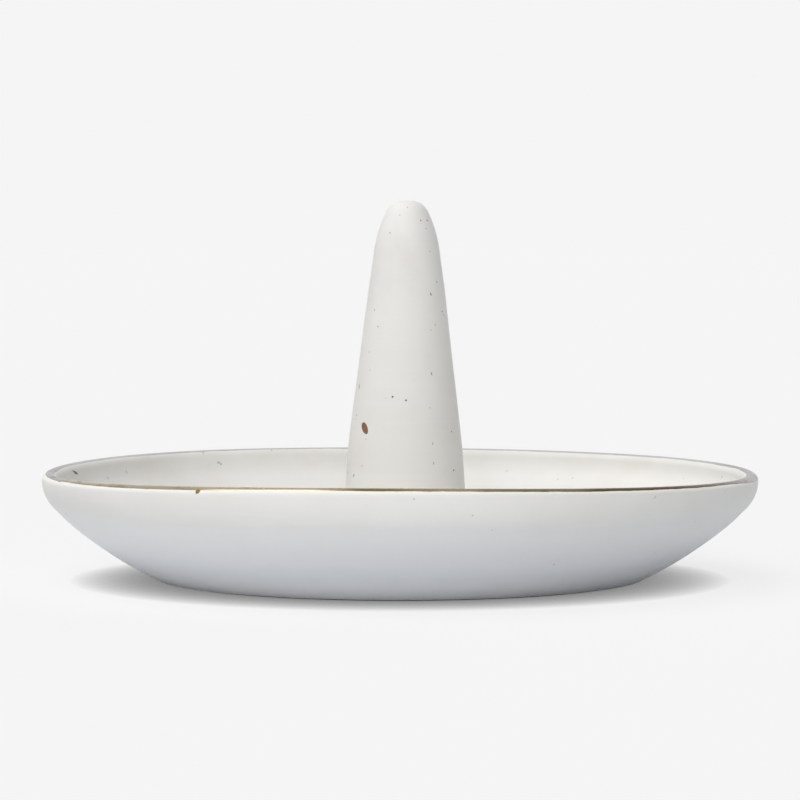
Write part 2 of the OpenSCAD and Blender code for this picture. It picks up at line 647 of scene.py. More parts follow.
class GeometryTree(NodeWork):
    """A Geometry Nodes tree with named inputs, run once on an object to give a plain mesh."""

    def __init__(self, name: str, inputs: dict[str, str]) -> None:
        """Starts a tree.

        Args:
            name: Its name.
            inputs: The kind of each named input after the first, which is the geometry.
        """
        super().__init__(bpy.data.node_groups.new(name, "GeometryNodeTree"))
        sides = [("Geometry", "INPUT", "Geometry"), ("Geometry", "OUTPUT", "Geometry")]
        for label, side, kind in sides + [(key, "INPUT", kind) for key, kind in inputs.items()]:
            self.tree.interface.new_socket(label, in_out=side, socket_type=f"NodeSocket{kind}")
        self.inputs = self.node("NodeGroupInput").outputs

    def close(self, geometry: bpy.types.NodeSocket) -> None:
        """Ends the tree with real geometry that wears the finish.

        Args:
            geometry: The output that holds the geometry.
        """
        real = self.node("GeometryNodeRealizeInstances", {}, {0: geometry})
        dressed = self.node(
            "GeometryNodeSetMaterial", {}, {"Geometry": real.outputs[0], "Material": self.inputs["Finish"]}
        )
        self.node("NodeGroupOutput", {}, {0: dressed.outputs[0]})

    def run(self, piece: bpy.types.Object, given: dict[str, object]) -> bpy.types.Mesh:
        """Runs the tree on an object.

        Args:
            piece: The object, which is left without a modifier.
            given: What the named inputs hold.

        Returns:
            The result as a plain mesh.
        """
        modifier = piece.modifiers.new(self.tree.name, "NODES")
        modifier.node_group = self.tree
        for item in self.tree.interface.items_tree:
            if item.name in given:
                modifier[item.identifier] = given[item.name]
        graph = bpy.context.evaluated_depsgraph_get()
        mesh = bpy.data.meshes.new_from_object(piece.evaluated_get(graph))
        piece.modifiers.clear()
        return mesh


class ShaderTree(NodeWork):
    """A material's nodes, with one principled shader that they feed."""

    def __init__(self, name: str) -> None:
        """Starts a material.

        Args:
            name: Its name.
        """
        self.material = bpy.data.materials.new(name)
        self.material.use_nodes = True
        super().__init__(self.material.node_tree)
        self.shader = self.tree.nodes["Principled BSDF"]
        self.place = self.node("ShaderNodeTexCoord").outputs["Object"]

    def set(self, **values: object) -> None:
        """Sets or links the shader's own sockets, named with _ for a space."""
        for key, value in values.items():
            self.feed(self.shader.inputs[key.replace("_", " ")], value)

    def noise(self, scale: float, detail: float = 2.0, place: object = None) -> Number:
        """Returns soft noise from 0 to 1, at a number of features a metre."""
        values = {"Vector": place or self.place, "Scale": scale, "Detail": detail}
        return Number(self, self.node("ShaderNodeTexNoise", {}, values).outputs[0])

    def patches(self, pattern: "Pattern") -> Number:
        """Returns 1 in the patches of a pattern and 0 between them, with soft edges."""
        place = self.stretched(pattern.stretch) if pattern.stretch else None
        return self.noise(pattern.scale, pattern.detail, place).between(pattern.low, pattern.high)

    def stretched(self, scale: tuple[float, float, float]) -> bpy.types.NodeSocket:
        """Returns the object's coordinates with each axis scaled."""
        return self.node("ShaderNodeMapping", {}, {"Vector": self.place, "Scale": scale}).outputs[0]

    def axis(self, name: str) -> Number:
        """Returns one of the object's coordinates, X, Y or Z."""
        return Number(self, self.node("ShaderNodeSeparateXYZ", {}, {0: self.place}).outputs[name])

    def from_axis(self) -> Number:
        """Returns the distance from the dish's axis."""
        flat = self.stretched((1, 1, 0))
        return Number(self, self.node("ShaderNodeVectorMath", {"operation": "LENGTH"}, {0: flat}).outputs[1])

    def attribute(self, name: str) -> Number:
        """Returns a number that the mesh carries."""
        return Number(self, self.node("ShaderNodeAttribute", {"attribute_name": name}).outputs["Fac"])

    def mix(self, share: object, low: object, high: object) -> bpy.types.NodeSocket:
        """Mixes two colours.

        Args:
            share: How much of the second there is, from 0 to 1.
            low: The first colour.
            high: The second colour.

        Returns:
            The output that holds the mixed colour.
        """
        values = {"Factor_Float": share, "A_Color": low, "B_Color": high}
        node = self.node("ShaderNodeMix", {"data_type": "RGBA"}, values)
        return self.socket(node.outputs, "Result_Color")

    def grains(self, scale: float, size: tuple[float, float], rare: tuple[float, float]) -> Number:
        """Returns scattered round grains.

        Args:
            scale: Cells a metre, of which some hold a grain.
            size: Radius of a grain, inside and outside its soft edge, as a share of a cell.
            rare: Chance below which a cell holds none, and above which it holds a full one.

        Returns:
            1 in a grain and 0 outside.
        """
        cells = self.node("ShaderNodeTexVoronoi", {}, {"Vector": self.place, "Scale": scale})
        chance = self.node("ShaderNodeSeparateColor", {}, {0: cells.outputs["Color"]})
        inside = 1 - Number(self, cells.outputs["Distance"]).between(*size)
        return inside * Number(self, chance.outputs[0]).between(*rare)

    def bump(self, height: Number, distance: float, strength: float) -> None:
        """Roughens the surface by a height from 0 to 1, over a distance in metres."""
        values = {"Height": height, "Distance": distance, "Strength": strength}
        self.set(Normal=self.node("ShaderNodeBump", {}, values).outputs[0])


@dataclass(frozen=True)
class Pattern:
    """Patches of soft noise: features a metre, detail, and the noise between which a patch fades in.

    A stretched pattern has a scale of 1 and its features a metre along each axis instead.
    """

    scale: float
    detail: float
    low: float
    high: float
    stretch: tuple[float, float, float] | None = None


@dataclass(frozen=True)
class GlazeFinish:
    """Cream satin glaze over speckled stoneware.

    The outside is lighter and cooler towards the foot, which is painted bounce light, and a painted highlight
    lies on the lip just under the gold.
    """

    cream: Colour = (0.80, 0.785, 0.75, 1)
    milk: Colour = (0.83, 0.82, 0.79, 1)
    # Painted bounce light: the outside is lighter and cooler low down, and lighter still by the foot.
    painted_bounce: Colour = (0.86, 0.87, 0.88, 1)
    painted_foot_bounce: Colour = (0.95, 0.95, 0.955, 1)
    # Painted highlight on the lip just under the gold.
    painted_lip_highlight: Colour = (0.90, 0.88, 0.82, 1)
    blush: Colour = (0.78, 0.735, 0.70, 1)
    iron: Colour = (0.10, 0.08, 0.065, 1)
    rust: Colour = (0.25, 0.089, 0.029, 1)
    clouds: Pattern = Pattern(55, 3, 0.35, 0.65)
    streaks: Pattern = Pattern(1, 3, 0.50, 0.72, (45, 45, 900))
    smudges: Pattern = Pattern(95, 3, 0.55, 0.74)
    streak_share: float = 0.35
    blush_share: float = 0.55
    painted_lip_highlight_share: float = 0.8
    foot_low: float = 0.8 * MM
    bounce_low: float = 4.5 * MM
    bounce_high: float = 16 * MM
    rust_grain: float = 2600.0
    rust_unevenness: float = 0.5
    roughness: float = 0.5
    sheen_scale: float = 180.0
    sheen_spread: float = 0.16
    ripple_scale: float = 220.0
    ripple_height: float = 0.6
    streak_height: float = 0.1
    prick_scale: float = 1500.0
    prick_height: float = 0.3
    bump_depth: float = 0.08 * MM
    bump_strength: float = 0.5
    specular: float = 0.12
    coat: float = 0.03
    coat_roughness: float = 0.25

    def build(self, name: str, marked: bool = False) -> bpy.types.Material:
        """Makes the material.

        Args:
            name: Its name.
            marked: True for the marks in the glaze, whose meshes say how much iron and rust they hold.

        Returns:
            The material.
        """
        t = ShaderTree(name)
        outside = t.attribute("outside")
        colour = t.mix(t.patches(self.clouds), self.cream, self.milk)
        streaks = t.patches(self.streaks)
        colour = t.mix(streaks * self.streak_share, colour, self.milk)
        smudges = t.patches(self.smudges)
        colour = t.mix(smudges * (1 - outside) * self.blush_share, colour, self.blush)
        # Painted bounce light, lighter and cooler low on the outside.
        low = 1 - t.axis("Z").between(self.bounce_low, self.bounce_high)
        colour = t.mix(outside * low, colour, self.painted_bounce)
        # Painted highlight on the lip just under the gold.
        colour = t.mix(t.attribute("painted_lip_highlight") * self.painted_lip_highlight_share, colour, self.painted_lip_highlight)
        # Painted bounce light, lighter still close to the foot.
        foot = 1 - t.axis("Z").between(self.foot_low, self.bounce_low)
        colour = t.mix(outside * foot, colour, self.painted_foot_bounce)
        if marked:
            grain = (t.noise(self.rust_grain) - 0.5) * self.rust_unevenness
            kind = t.mix(t.attribute("rust") + grain, self.iron, self.rust)
            colour = t.mix(t.attribute("iron"), colour, kind)
        t.set(
            Base_Color=colour,
            Roughness=self.roughness + (t.noise(self.sheen_scale) - 0.5) * self.sheen_spread,
            Specular_IOR_Level=self.specular,
            Coat_Weight=self.coat,
            Coat_Roughness=self.coat_roughness,
        )
        ripple = t.noise(self.ripple_scale) * self.ripple_height + streaks * self.streak_height
        pricks = t.noise(self.prick_scale, 1) * self.prick_height
        t.bump(ripple + pricks, self.bump_depth, self.bump_strength)
        return t.material


@dataclass(frozen=True)
class ClayFinish:
    """Bare fired stoneware, with the fine rings that the turning tool leaves."""

    name: str = "bare_stoneware"
    buff: Colour = (0.60, 0.52, 0.43, 1)
    pale: Colour = (0.72, 0.64, 0.55, 1)
    iron: Colour = (0.16, 0.10, 0.07, 1)
    shades: Pattern = Pattern(70, 4, 0.3, 0.7)
    grain_scale: float = 900.0
    grain_size: Zone = (0.15, 0.3)
    grain_chance: Zone = (0.86, 0.92)
    grain_share: float = 0.8
    roughness: float = 0.82
    dry_scale: float = 600.0
    dry_spread: float = 0.14
    ring_scale: float = 1400.0
    ring_share: float = 0.6
    sand_scale: float = 2500.0
    sand_share: float = 0.4
    ring_depth: float = 0.12 * MM
    ring_strength: float = 0.6

    def build(self) -> bpy.types.Material:
        """Makes the material.

        Returns:
            The material.
        """
        t = ShaderTree(self.name)
        colour = t.mix(t.patches(self.shades), self.buff, self.pale)
        grains = t.grains(self.grain_scale, self.grain_size, self.grain_chance)
        colour = t.mix(grains * self.grain_share, colour, self.iron)
        t.set(Base_Color=colour, Roughness=self.roughness + t.noise(self.dry_scale) * self.dry_spread)
        rings = t.node(
            "ShaderNodeTexNoise",
            {"noise_dimensions": "1D"},
            {"W": t.from_axis(), "Scale": self.ring_scale},
        )
        sand = t.noise(self.sand_scale) * self.sand_share
        t.bump(Number(t, rings.outputs[0]) * self.ring_share + sand, self.ring_depth, self.ring_strength)
        return t.material


@dataclass(frozen=True)
class PaintedReflection:
    """A stretch of the line whose colour is a painted reflection, from where it begins to where it has its
    own colour, across the dish.
    """

    begins: float
    full: float
    colour: Colour


@dataclass(frozen=True)
class GoldFinish:
    """Fired gold lustre, painted by hand.

    Along the front its colour holds painted reflections: dull at the left end, a painted highlight left of
    the middle and dark brown towards the right. It is brown in patches where the brush went over it twice.
    Inwards of the top of the lip a painted reflection makes it greyish and less metallic, and at its ends it
    takes a lilac greyish tone. A place across the dish is in metres from its middle, and a place inwards is a
    share of the line's width.
    """

    gold: Colour = (0.50, 0.38, 0.23, 1)
    # Painted reflections along the front: dull at the left end, lighter left of the middle, dark brown to the
    # right.
    painted_reflections: tuple[PaintedReflection, ...] = (
        PaintedReflection(-55 * MM, -52 * MM, (0.42, 0.355, 0.25, 1)),
        PaintedReflection(-33 * MM, -29 * MM, (0.51, 0.40, 0.24, 1)),
        PaintedReflection(-11 * MM, -6 * MM, (0.225, 0.165, 0.07, 1)),
        PaintedReflection(-3 * MM, 4 * MM, (0.34, 0.265, 0.165, 1)),
        PaintedReflection(10 * MM, 17 * MM, (0.205, 0.175, 0.115, 1)),
        PaintedReflection(26 * MM, 31 * MM, (0.085, 0.062, 0.026, 1)),
        PaintedReflection(37 * MM, 40 * MM, (0.075, 0.028, 0.006, 1)),
        PaintedReflection(43 * MM, 47 * MM, (0.12, 0.07, 0.03, 1)),
        PaintedReflection(48 * MM, 52 * MM, (0.17, 0.13, 0.10, 1)),
    )
    # Painted highlight.
    painted_highlight: Colour = (0.95, 0.90, 0.74, 1)
    brown: Colour = (0.10, 0.07, 0.035, 1)
    amber: Colour = (0.26, 0.15, 0.05, 1)
    # Painted reflection inwards of the top of the lip.
    painted_grey_reflection: Colour = (0.50, 0.49, 0.495, 1)
    # Painted reflection at the line's ends.
    painted_end_reflection: Colour = (0.34, 0.315, 0.325, 1)
    worn: Pattern = Pattern(420, 3, 0.50, 0.72)
    drawn: Pattern = Pattern(1, 2, 0.45, 0.8, (160, 160, 3000))
    worn_share: float = 0.3
    drawn_share: float = 0.2
    front_ends: Zone = (-12 * MM, 4 * MM)
    # Where the painted highlight lies, across the dish and off the outer edge.
    lit_begins: Zone = (-31 * MM, -27 * MM)
    lit_ends: Zone = (-14 * MM, -9 * MM)
    lit_edge: Zone = (0.08, 0.18)
    painted_grey_from: Zone = (0.42, 0.60)
    right_end: Zone = (52 * MM, 57 * MM)
    left_end: Zone = (-58.5 * MM, -55.5 * MM)
    end_share: float = 0.85
    # Darker brown along the outer edge of the line, towards the left.
    dark_edge_width: Zone = (0.03, 0.12)
    dark_edge_ends: Zone = (-46 * MM, -36 * MM)
    dark_edge_share: float = 0.6
    painted_grey_dulls: float = 0.6
    roughness: float = 0.26
    worn_roughness: float = 0.16
    painted_grey_roughness: float = 0.12
    drip_turns_amber: Zone = (-33.9 * MM, -33.3 * MM)
    drip_roughness: float = 0.3
    drip_scale: float = 900.0
    drip_spread: float = 0.1
    brush_scale: float = 1800.0
    brush_depth: float = 0.05 * MM
    brush_strength: float = 0.5
    drip_strength: float = 0.4

    def build(self) -> bpy.types.Material:
        """Makes the line's material.

        Returns:
            The material.
        """
        t = ShaderTree("gold_lustre")
        across, back, inwards = t.axis("X"), t.axis("Y"), t.attribute("inwards")
        front = 1 - back.between(*self.front_ends)
        colour = self.painted_end_reflection
        # Painted reflections along the front of the line, stretch by stretch.
        for reflection in self.painted_reflections:
            colour = t.mix(across.between(reflection.begins, reflection.full), colour, reflection.colour)
        worn = t.patches(self.worn)
        drawn = t.patches(self.drawn)
        colour = t.mix(worn * self.worn_share + drawn * self.drawn_share, colour, self.brown)
        # Painted highlight left of the middle, along the outer edge of the line.
        lit = across.between(*self.lit_begins) * (1 - across.between(*self.lit_ends))
        colour = t.mix(lit * (1 - inwards.between(*self.lit_edge)), colour, self.painted_highlight)
        # The painted reflections and highlight lie on the front only; the back keeps plain gold.
        colour = t.mix(front, self.gold, colour)
        # Painted reflection: greyish and less metallic inwards of the top of the lip.
        painted_grey_side = inwards.between(*self.painted_grey_from)
        colour = t.mix(painted_grey_side, colour, self.painted_grey_reflection)
        # Painted reflection: the ends of the line take a lilac greyish tone.
        ends = across.between(*self.right_end).most(1 - across.between(*self.left_end))
        colour = t.mix(ends * self.end_share, colour, self.painted_end_reflection)
        # Darker brown along the outer edge of the line, left of the middle.
        dark_outer_edge = (1 - inwards.between(*self.dark_edge_width)) * (1 - across.between(*self.dark_edge_ends))
        colour = t.mix(dark_outer_edge * self.dark_edge_share, colour, self.brown)
        t.set(
            Base_Color=colour,
            Metallic=1.0 - painted_grey_side * self.painted_grey_dulls,
            Roughness=self.roughness + worn * self.worn_roughness + painted_grey_side * self.painted_grey_roughness,
        )
        t.bump(t.noise(self.brush_scale), self.brush_depth, self.brush_strength)
        return t.material

    def build_drip(self) -> bpy.types.Material:
        """Makes the material of the drip, in which the lustre lies thick and brown.

        Returns:
            The material.
        """
        t = ShaderTree("gold_drip")
        colour = t.mix(t.axis("X").between(*self.drip_turns_amber), self.brown, self.amber)
        roughness = self.drip_roughness + t.noise(self.drip_scale) * self.drip_spread
        t.set(Base_Color=colour, Metallic=1.0, Roughness=roughness)
        t.bump(t.noise(self.brush_scale), self.brush_depth, self.drip_strength)
        return t.material


class Wheel:
    """Turns outlines round the Z axis with one Geometry Nodes tree, as on a potter's wheel."""

    def __init__(self, steps: int, radius: float = 100 * MM) -> None:
        """Makes the wheel.

        Args:
            steps: How many steps a turn has.
            radius: Radius of the round path that carries the outline.
        """
        self.steps = steps
        self.radius = radius
        self.tree = GeometryTree("wheel", {"Steps": "Int", "Radius": "Float", "Finish": "Material"})
        t = self.tree
        outline = t.node("GeometryNodeMeshToCurve", {}, {"Mesh": t.inputs["Geometry"]})
        path = t.node(
            "GeometryNodeCurvePrimitiveCircle",
            {},
            {"Resolution": t.inputs["Steps"], "Radius": t.inputs["Radius"]},
        )
        swept = t.node(
            "GeometryNodeCurveToMesh",
            {},
            {"Curve": path.outputs["Curve"], "Profile Curve": outline.outputs["Curve"]},
        )
        closed = t.node(
            "GeometryNodeMergeByDistance", {}, {"Geometry": swept.outputs[0], "Distance": SAME_PLACE}
        )
        t.close(closed.outputs[0])

    def turn(
        self,
        name: str,
        outline: Callable[[float], Outline],
        place: Placer,
        material: bpy.types.Material,
        closed: bool = True,
        skin: int = 0,
        carried: dict[str, list[float]] | None = None,
    ) -> bpy.types.Object:
        """Turns a piece.

        Args:
            name: Its name.
            outline: Gives the outline at each angle, always with as many points.
            place: Gives the place of a point of the outline at an angle.
            material: Its finish.
            closed: True if the outline is a loop, False if it starts and ends on the axis.
            skin: How many of the outline's first points lie on the glazed surface.
            carried: Numbers that the outline's points carry, by name.

        Returns:
            The object, at the origin and with faces pointing outwards.
        """
        first = outline(0.0)
        count = len(first)
        flat = bpy.data.meshes.new(name)
        edges = [(i, (i + 1) % count) for i in range(count if closed else count - 1)]
        flat.from_pydata([(r - self.radius, -z, 0) for r, z in first], edges, [])
        flat.attributes.new("step", "INT", "POINT").data.foreach_set("value", range(count))
        piece = in_scene(name, flat)
        mesh = self.tree.run(piece, {"Steps": self.steps, "Radius": self.radius, "Finish": material})
        mesh.name = name
        piece.data = mesh
        steps = [item.value for item in mesh.attributes["step"].data]
        rows: dict[int, Outline] = {}
        for vertex, step in zip(mesh.vertices, steps):
            turned = round(math.atan2(vertex.co.y, vertex.co.x) / (2 * math.pi) * self.steps) % self.steps
            angle = 2 * math.pi * turned / self.steps
            if turned not in rows:
                rows[turned] = outline(angle)
            vertex.co = place(*rows[turned][step], angle)
        shown = [all(steps[i] < skin for i in face.vertices) for face in mesh.polygons]
        mesh.attributes.new("skin", "BOOLEAN", "FACE").data.foreach_set("value", shown)
        for key, values in (carried or {}).items():
            carry(mesh, key, [values[step] for step in steps])
        face_outwards(mesh)
        shade_smooth(mesh)
        return piece


def face_outwards(mesh: bpy.types.Mesh) -> None:
    """Turns a closed mesh's faces round if its volume comes out negative.

    Args:
        mesh: The mesh.
    """
    mesh.calc_loop_triangles()
    co = np.array([v.co for v in mesh.vertices])
    tri = np.array([t.vertices for t in mesh.loop_triangles])
    volume = np.einsum("ij,ij->i", co[tri[:, 0]], np.cross(co[tri[:, 1]], co[tri[:, 2]])).sum()
    if volume < 0:
        mesh.flip_normals()


def shade_smooth(mesh: bpy.types.Mesh, sharp: float = 35.0) -> None:
    """Shades a mesh smoothly, apart from edges sharper than an angle in degrees."""
    mesh.polygons.foreach_set("use_smooth", [True] * len(mesh.polygons))
    mesh.set_sharp_from_angle(angle=math.radians(sharp))


def carry(mesh: bpy.types.Mesh, name: str, values: list[float]) -> None:
    """Gives each point of a mesh a number."""
    mesh.attributes.new(name, "FLOAT", "POINT").data.foreach_set("value", values)


def finished(piece: bpy.types.Object, slot: Slot, *nodes: str) -> bpy.types.Object:
    """Puts a piece on the dish's body.

    Args:
        piece: The piece.
        slot: Its material slot, which is not used.
        nodes: Nodes of the frame whose place it takes.

    Returns:
        The same piece.
    """
    if nodes:
        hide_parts(*nodes)
    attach(piece, "root")
    LOG.info("%s: %d faces", piece.name, len(piece.data.polygons))
    return piece


@dataclass
class Dish:
    """The dish: its clay, with the turned foot and the vent, and its glaze."""

    sizes: DishSizes
    cone: ConeSizes
    hand: HandShape
    wheel: Wheel
    step: float = 0.75 * MM
    lip_step: float = 0.12 * MM
    # Slopes of the lip, in degrees above level, over which the painted highlight under the gold fades in.
    painted_lip_highlight_zone: Zone = (14.0, 32.0)

    def _wall(self, coat: float, from_level: float) -> Outline:
        """Returns the outline of the wall.

        Args:
            coat: Thickness of glaze over the clay, or 0 for the clay itself.
            from_level: Height on the outside at which it starts.

        Returns:
            The outline up the outside, over the lip and down inside to the floor.
        """
        outer = [arc.points(self.step) for arc in self.sizes.outside(coat)]
        inner = [arc.points(self.step)[::-1] for arc in reversed(self.sizes.inside(coat))]
        path = joined(*outer, self.sizes.lip(coat).points(self.lip_step), *inner)
        return self._from_level(path, from_level)

    @staticmethod
    def _from_level(path: Outline, level: float) -> Outline:
        """Cuts a path's first stretch off.

        Args:
            path: The path, which rises at first.
            level: Height of the cut.

        Returns:
            The rest of the path, from exactly that height.
        """
        index = next(i for i, point in enumerate(path) if point[1] > level)
        if index == 0:
            return path
        (r0, z0), (r1, z1) = path[index - 1], path[index]
        share = (level - z0) / (z1 - z0)
        return [(r0 + (r1 - r0) * share, level)] + path[index:]

    def _floor(self, coat: float, to_radius: float) -> Outline:
        """Returns the outline of the level floor.

        Args:
            coat: Thickness of glaze over the clay, or 0 for the clay itself.
            to_radius: Radius at which it ends.

        Returns:
            The outline from the floor's blend inwards.
        """
        level = self.sizes.floor_level + coat
        start = self.sizes.inside(coat)[0].centre[0]
        return straight((start, level), (to_radius, level), self.step)

    def build_clay(self, material: bpy.types.Material) -> bpy.types.Object:
        """Builds the clay, whose foot is bare where it stands.

        Args:
            material: Its finish.

        Returns:
            The finished piece.
        """
        s = self.sizes
        ring = s.outside(0)[0].centre[0]
        slope = s.recess / math.tan(math.radians(s.recess_slope))
        vent = self.cone.vent / 2
        path = joined(
            straight((vent, s.recess), (ring - s.foot_ring - slope, s.recess), self.step),
            straight((ring - s.foot_ring - slope, s.recess), (ring - s.foot_ring, 0), self.step / 3),
            straight((ring - s.foot_ring, 0), (ring, 0), self.step),
            self._wall(0, -1),
            self._floor(0, vent),
            straight((vent, s.floor_level), (vent, s.recess), self.step),
        )[:-1]
        piece = self.wheel.turn("dish_clay", lambda angle: path, self.hand.on_dish, material)
        return finished(piece, Slot.CLAY, "dish_body")

    def build_glaze(self, material: bpy.types.Material) -> bpy.types.Object:
        """Builds the glaze, inside and out, down to the foot line and in to the toe of the cove.

        Args:
            material: Its finish, which reads what lies outside and where its painted highlight lies just
                under the gold.

        Returns:
            The finished piece.
        """
        s, toe = self.sizes, self.cone.toe
        over = joined(self._wall(s.glaze, s.glaze_line), self._floor(s.glaze, toe))
        under = joined(self._wall(0, s.glaze_line), self._floor(0, toe))
        path = over + under[::-1]
        top = max(range(len(over)), key=lambda i: over[i][1])
        # Painted highlight on the outside of the lip, just under the gold.
        low, high = (s.widest + s.lip_radius * math.sin(math.radians(a)) for a in self.painted_lip_highlight_zone)
        outside = [float(i <= top) for i in range(len(path))]
        painted_lip_highlight = [smooth(path[i][1], low, high) * outside[i] for i in range(len(path))]
        piece = self.wheel.turn(
            "dish_glaze_coat",
            lambda angle: path,
            self.hand.on_dish,
            material,
            skin=len(over),
            carried={"outside": outside, "painted_lip_highlight": painted_lip_highlight},
        )
        return finished(piece, Slot.GLAZE, "dish_glaze")


@dataclass
class Cone:
    """The cone: hollow clay, the slip that holds it and the glaze over it."""

    sizes: ConeSizes
    hand: HandShape
    wheel: Wheel
    step: float = 0.6 * MM
    fine_step: float = 0.3 * MM

    def _top(self, coat: float) -> Outline:
        """Returns the outline of the tip and shoulder.

        Args:
            coat: Thickness of glaze over the clay, or 0 for the clay itself.

        Returns:
            The outline from the middle of the tip down.
        """
        level = self.sizes.height - self.sizes.dish.glaze + coat
        arcs = [arc.points(self.fine_step) for arc in self.sizes.top(coat)]
        return joined(straight((0, level), arcs[0][0], self.fine_step), *arcs)

    def build_clay(self, material: bpy.types.Material) -> bpy.types.Object:
        """Builds the hollow clay cone, down to the top of the slip.

        Args:
            material: Its finish.

        Returns:
            The finished piece.
        """
        s = self.sizes
        foot = s.dish.floor_level + s.slip
        side = straight(self._top(0)[-1], (s.taper_radius(foot, s.dish.glaze), foot), self.step)
        end = Arc((0, s.hollow_tip_level), s.hollow_tip, 90 + s.taper, 180)
        hollow = joined(
            straight((s.taper_radius(foot, s.hollow_inset), foot), end.at(90 + s.taper), self.step),
            end.points(self.fine_step),
        )
        path = joined(self._top(0), side, hollow)
        piece = self.wheel.turn("cone_clay", lambda angle: path, self.hand.on_cone, material, closed=False)
        return finished(piece, Slot.CLAY, "ring_cone")

    def build_slip(self, material: bpy.types.Material) -> bpy.types.Object:
        """Builds the slip under the cone's foot and the cove smoothed round it.

        Args:
            material: Its finish.

        Returns:
            The finished piece.
        """
        s = self.sizes
        base, foot = s.dish.floor_level, s.dish.floor_level + s.slip
        inner_base = (s.taper_radius(base, s.hollow_inset), base)
        inner_foot = (s.taper_radius(foot, s.hollow_inset), foot)
        outer_foot = (s.taper_radius(foot, s.dish.glaze), foot)
        cove = s.cove_points(0, self.fine_step)
        path = joined(
            straight(inner_base, inner_foot, self.step),
            straight(inner_foot, outer_foot, self.step),
            straight(outer_foot, cove[0], self.step),
            cove,
            straight((s.toe, base), inner_base, self.step),
        )[:-1]
        piece = self.wheel.turn("cone_slip", lambda angle: path, self.hand.on_cone, material)
        return finished(piece, Slot.SLIP, "cone_joint")

    def build_glaze(self, material: bpy.types.Material) -> bpy.types.Object:
        """Builds the glaze over the cone and its cove, out to the toe.

        Args:
            material: Its finish.

        Returns:
            The finished piece.
        """
        s = self.sizes
        paths = []
        for coat in (s.dish.glaze, 0.0):
            cove = s.cove_points(coat, self.fine_step)
            side = straight(self._top(coat)[-1], cove[0], self.step)
            level = s.dish.floor_level + coat
            paths.append(joined(self._top(coat), side, cove, [(s.toe, level)]))
        over, under = paths
        path = over + under[::-1]
        piece = self.wheel.turn(
            "cone_glaze_coat", lambda angle: path, self.hand.on_cone, material, closed=False, skin=len(over)
        )
        return finished(piece, Slot.GLAZE, "cone_glaze")


@dataclass
class GoldLine:
    """The line of gold lustre over the lip, painted by hand.

    Its edges are in degrees round the lip, above level on the outside. Each wave of an edge is how many turns
    it has round the lip and a seed of its own.
    """

    sizes: DishSizes
    hand: HandShape
    wheel: Wheel
    thickness: float = 0.05 * MM
    sunk: float = 0.03 * MM
    outer_edge: float = 56.0
    front_drop: float = 24.0
    middle_trim: float = 13.0
    right_drop: float = 34.0
    right_zone: Zone = (0.86, 0.99)
    inner_edge: float = 130.0
    back_trim: float = 6.0
    waver: float = 4.0
    outer_flutter: float = 0.4
    inner_flutter: float = 0.5
    ragged: float = 6.0
    ragged_zone: Zone = (0.80, 0.97)
    outer_broad: tuple[float, float] = (4, 1.5)
    outer_fine: tuple[float, float] = (30, 7.5)
    outer_ragged: tuple[float, float] = (55, 3.5)
    inner_broad: tuple[float, float] = (6, 11.5)
    inner_fine: tuple[float, float] = (40, 5.5)
    wave_gain: float = 1.6
    swell: float = 0.35
    back_gap: float = 0.01 * MM
    across: int = 16

    def _brush(self, angle: float, wave: tuple[float, float]) -> float:
        """Returns an uneven wave from about -1 to 1 that closes on itself."""
        turns, seed = wave
        return self.wave_gain * noise.noise(Vector((turns * math.cos(angle), turns * math.sin(angle), seed)))

    def _edges(self, angle: float) -> tuple[float, float]:
        """Finds the line's edges on the lip's round.

        Args:
            angle: Angle round the dish, in radians.

        Returns:
            Its outer and inner edge, in degrees above level.
        """
        left_end = smooth(-math.cos(angle), *self.ragged_zone)
        front = max(0.0, -math.sin(angle))
        outer = self.outer_edge - self.front_drop * front + self.middle_trim * front**8
        outer -= self.right_drop * smooth(math.cos(angle), *self.right_zone)
        flutter = self.outer_flutter * self.waver
        outer += self.waver * self._brush(angle, self.outer_broad)
        outer += flutter * self._brush(angle, self.outer_fine)
        outer += left_end * self.ragged * self._brush(angle, self.outer_ragged)
        inner = self.inner_edge - self.back_trim * max(0.0, math.sin(angle))
        flutter = self.inner_flutter * self.waver
        inner += self.waver * self._brush(angle, self.inner_broad)
        inner += flutter * self._brush(angle, self.inner_fine)
        return outer, inner

    def _outline(self, angle: float) -> Outline:
        """Draws the line's cross-section.

        Args:
            angle: Angle round the dish, in radians.

        Returns:
            The outline, over the top and back underneath.
        """
        lip = Arc(self.sizes.lip_centre, self.sizes.lip_radius, 90, 270)
        outer, inner = self._edges(angle)
        over, under = [], []
        for i in range(self.across + 1):
            share = i / self.across
            slope = 90 + outer + (inner - outer) * share
            rise = (4 * share * (1 - share)) ** self.swell
            over.append(lip.at(slope, self.thickness * rise - self.sunk * (1 - rise)))
            under.append(lip.at(slope, -self.sunk - self.back_gap))
        return over + under[::-1]

    def build(self, material: bpy.types.Material) -> bpy.types.Object:
        """Builds the line.

        Args:
            material: Its finish, which reads how far inwards each point lies.

        Returns:
            The finished piece.
        """
        shares = [i / self.across for i in range(self.across + 1)]
        piece = self.wheel.turn(
            "gold_line",
            self._outline,
            self.hand.on_dish,
            material,
            carried={"inwards": shares + shares[::-1]},
        )
        return finished(piece, Slot.GOLD, "gold_rim_line")


@dataclass(frozen=True)
class Mark:
    """One iron mark in the glaze, where the photograph shows it, in pixels of the photograph.

    A round speck has one place. A streak runs from its first place to its second.
    """

    name: str
    x: float
    y: float
    width: float = 0.36 * MM
    iron: float = 0.8
    to_x: float | None = None
    to_y: float | None = None
    to_width: float | None = None
    rust: float = 0.0
    rise: float = 0.015 * MM
    edge: float = 0.55


